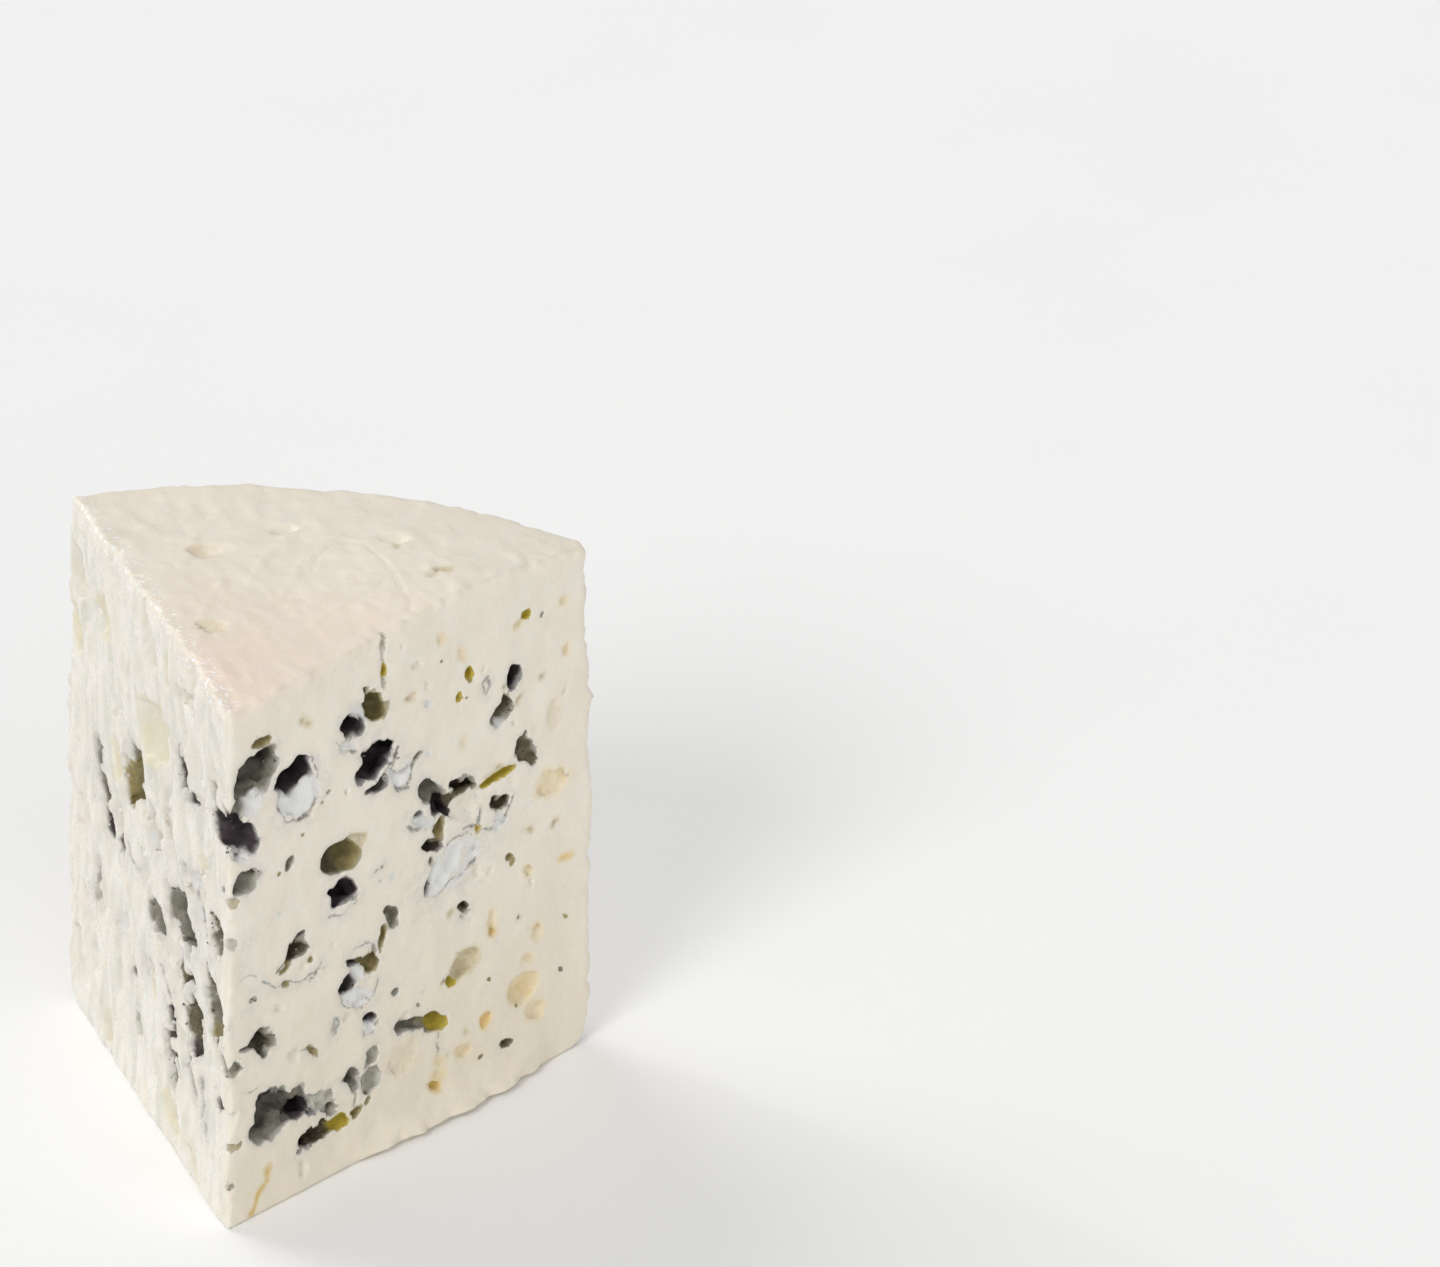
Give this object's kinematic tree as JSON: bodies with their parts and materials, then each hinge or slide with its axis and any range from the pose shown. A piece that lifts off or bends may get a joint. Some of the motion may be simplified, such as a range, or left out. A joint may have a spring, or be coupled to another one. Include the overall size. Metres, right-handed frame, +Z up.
{
  "type": "blue cheese wedge",
  "caption": "Tall wedge of blue cheese cut from a wheel, with mould-lined eyes on both cut faces and a smooth rind at the back.",
  "frame": {"origin": "centre of the bounding box, at the flat base that the wedge stands on", "axes": "+Z up from the base to the top of the wheel; -Y towards the pointed tip and +Y towards the curved rind; +X to the right as seen from the tip"},
  "size_m": [0.1042, 0.0984, 0.11],
  "materials": {
    "curd": "moist ivory curd with grey-blue and olive mould in its eyes"
  },
  "bodies": {
    "root": {"cheese_wedge": "curd"}
  },
  "joints": []
}
